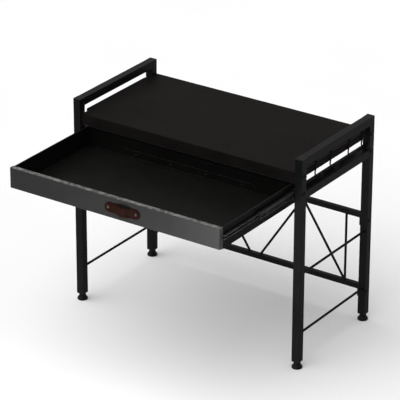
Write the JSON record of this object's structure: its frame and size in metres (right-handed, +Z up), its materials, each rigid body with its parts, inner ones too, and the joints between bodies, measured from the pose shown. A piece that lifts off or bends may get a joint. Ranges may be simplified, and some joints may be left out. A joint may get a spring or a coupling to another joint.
{
  "type": "microwave stand with drawer",
  "caption": "Black steel stand that bridges a microwave: tube legs on levelling feet, a flat shelf above, a pull-out drawer on ball slides with a leather pull, and S-hooks on a side rod.",
  "frame": {"origin": "middle of the whole object's footprint at floor level, with the drawer drawn out", "axes": "+Z up, +X to the right seen from the front, -Y to the front, the way the drawer opens"},
  "size_m": [0.6658, 0.624, 0.54],
  "materials": {
    "frame_coat": "satin fine-texture powder coat",
    "shelf_coat": "matt fine-texture powder coat",
    "drawer_coat": "satin powder coat",
    "front_coat": "satin charcoal powder coat",
    "slide_steel": "black electro-coated rolled steel",
    "bolt_black": "black oxide",
    "hook_wire": "satin black coating",
    "bare_steel": "zinc plated",
    "stud_metal": "dark bronzed",
    "strap_leather": "waxed dark brown",
    "black_plastic": "matte"
  },
  "bodies": {
    "frame": {"post_front_left": "frame_coat", "post_front_right": "frame_coat", "post_rear_left": "frame_coat", "post_rear_right": "frame_coat", "top_rail_left": "frame_coat", "slide_rail_left": "frame_coat", "tie_rod_middle_left": "frame_coat", "tie_rod_low_left": "frame_coat", "lattice_upright_left": "frame_coat", "lattice_diagonal_outer_left": "frame_coat", "lattice_diagonal_inner_left": "frame_coat", "slide_fixed_left": "slide_steel", "top_rail_right": "frame_coat", "slide_rail_right": "frame_coat", "tie_rod_middle_right": "frame_coat", "tie_rod_low_right": "frame_coat", "lattice_upright_right": "frame_coat", "lattice_diagonal_outer_right": "frame_coat", "lattice_diagonal_inner_right": "frame_coat", "slide_fixed_right": "slide_steel", "rear_crossbar_upper": "frame_coat", "rear_crossbar_lower": "frame_coat", "crossbar_end_plates": "frame_coat", "hook_rod": "hook_wire", "post_inserts": "black_plastic", "frame_bolts": "bolt_black", "shelf_panel": "shelf_coat", "shelf_stiffeners": "shelf_coat", "shelf_weld_nuts": "bare_steel"},
    "drawer": {"drawer_front": "front_coat", "drawer_front_liner": "drawer_coat", "drawer_side_left": "drawer_coat", "drawer_side_right": "drawer_coat", "drawer_floor": "drawer_coat", "drawer_back": "drawer_coat", "drawer_rivets": "bolt_black", "slide_screws": "bolt_black", "slide_moving_left": "slide_steel", "slide_moving_right": "slide_steel", "pull_strap": "strap_leather", "pull_studs": "stud_metal", "pull_nuts": "bare_steel"},
    "slide_middle_left": {"slide_middle_left": "slide_steel"},
    "ball_cage_outer_left": {"ball_cage_outer_left": "bare_steel"},
    "ball_cage_inner_left": {"ball_cage_inner_left": "bare_steel"},
    "slide_middle_right": {"slide_middle_right": "slide_steel"},
    "ball_cage_outer_right": {"ball_cage_outer_right": "bare_steel"},
    "ball_cage_inner_right": {"ball_cage_inner_right": "bare_steel"},
    "foot_front_left": {"foot_pad_front_left": "black_plastic", "foot_stud_front_left": "bare_steel"},
    "foot_front_right": {"foot_pad_front_right": "black_plastic", "foot_stud_front_right": "bare_steel"},
    "foot_rear_left": {"foot_pad_rear_left": "black_plastic", "foot_stud_rear_left": "bare_steel"},
    "foot_rear_right": {"foot_pad_rear_right": "black_plastic", "foot_stud_rear_right": "bare_steel"},
    "s_hook_1": {"s_hook_1": "hook_wire"},
    "s_hook_2": {"s_hook_2": "hook_wire"},
    "s_hook_3": {"s_hook_3": "hook_wire"},
    "s_hook_4": {"s_hook_4": "hook_wire"}
  },
  "joints": [
    {"name": "drawer_slide", "type": "slide", "parent": "frame", "child": "drawer", "axis": [0, 1, 0], "range_m": [0, 0.296]},
    {"name": "slide_middle_left_slide", "type": "slide", "parent": "frame", "child": "slide_middle_left", "axis": [0, 1, 0], "range_m": [0, 0.148]},
    {"name": "ball_cage_outer_left_slide", "type": "slide", "parent": "frame", "child": "ball_cage_outer_left", "axis": [0, 1, 0], "range_m": [0, 0.074]},
    {"name": "ball_cage_inner_left_slide", "type": "slide", "parent": "frame", "child": "ball_cage_inner_left", "axis": [0, 1, 0], "range_m": [0, 0.222]},
    {"name": "slide_middle_right_slide", "type": "slide", "parent": "frame", "child": "slide_middle_right", "axis": [0, 1, 0], "range_m": [0, 0.148]},
    {"name": "ball_cage_outer_right_slide", "type": "slide", "parent": "frame", "child": "ball_cage_outer_right", "axis": [0, 1, 0], "range_m": [0, 0.074]},
    {"name": "ball_cage_inner_right_slide", "type": "slide", "parent": "frame", "child": "ball_cage_inner_right", "axis": [0, 1, 0], "range_m": [0, 0.222]},
    {"name": "foot_front_left_turn", "type": "hinge", "parent": "frame", "child": "foot_front_left", "pos_m": [-0.31993, -0.001, 0.02], "axis": [0, 0, 1], "continuous": true},
    {"name": "foot_front_right_turn", "type": "hinge", "parent": "frame", "child": "foot_front_right", "pos_m": [0.31007, -0.001, 0.02], "axis": [0, 0, 1], "continuous": true},
    {"name": "foot_rear_left_turn", "type": "hinge", "parent": "frame", "child": "foot_rear_left", "pos_m": [-0.31993, 0.299, 0.02], "axis": [0, 0, 1], "continuous": true},
    {"name": "foot_rear_right_turn", "type": "hinge", "parent": "frame", "child": "foot_rear_right", "pos_m": [0.31007, 0.299, 0.02], "axis": [0, 0, 1], "continuous": true},
    {"name": "s_hook_1_swing", "type": "hinge", "parent": "frame", "child": "s_hook_1", "pos_m": [0.31007, 0.06, 0.511], "axis": [0, -1, 0], "range_deg": [-0.5, 98]},
    {"name": "s_hook_2_swing", "type": "hinge", "parent": "frame", "child": "s_hook_2", "pos_m": [0.31007, 0.126, 0.511], "axis": [0, -1, 0], "range_deg": [-0.5, 98]},
    {"name": "s_hook_3_swing", "type": "hinge", "parent": "frame", "child": "s_hook_3", "pos_m": [0.31007, 0.206, 0.511], "axis": [0, -1, 0], "range_deg": [-0.5, 98]},
    {"name": "s_hook_4_swing", "type": "hinge", "parent": "frame", "child": "s_hook_4", "pos_m": [0.31007, 0.266, 0.511], "axis": [0, -1, 0], "range_deg": [-0.5, 98]}
  ],
  "couplings": [
    {"joint": "slide_middle_left_slide", "follows": "drawer_slide", "ratio": 0.5},
    {"joint": "ball_cage_outer_left_slide", "follows": "drawer_slide", "ratio": 0.25},
    {"joint": "ball_cage_inner_left_slide", "follows": "drawer_slide", "ratio": 0.75},
    {"joint": "slide_middle_right_slide", "follows": "drawer_slide", "ratio": 0.5},
    {"joint": "ball_cage_outer_right_slide", "follows": "drawer_slide", "ratio": 0.25},
    {"joint": "ball_cage_inner_right_slide", "follows": "drawer_slide", "ratio": 0.75}
  ]
}
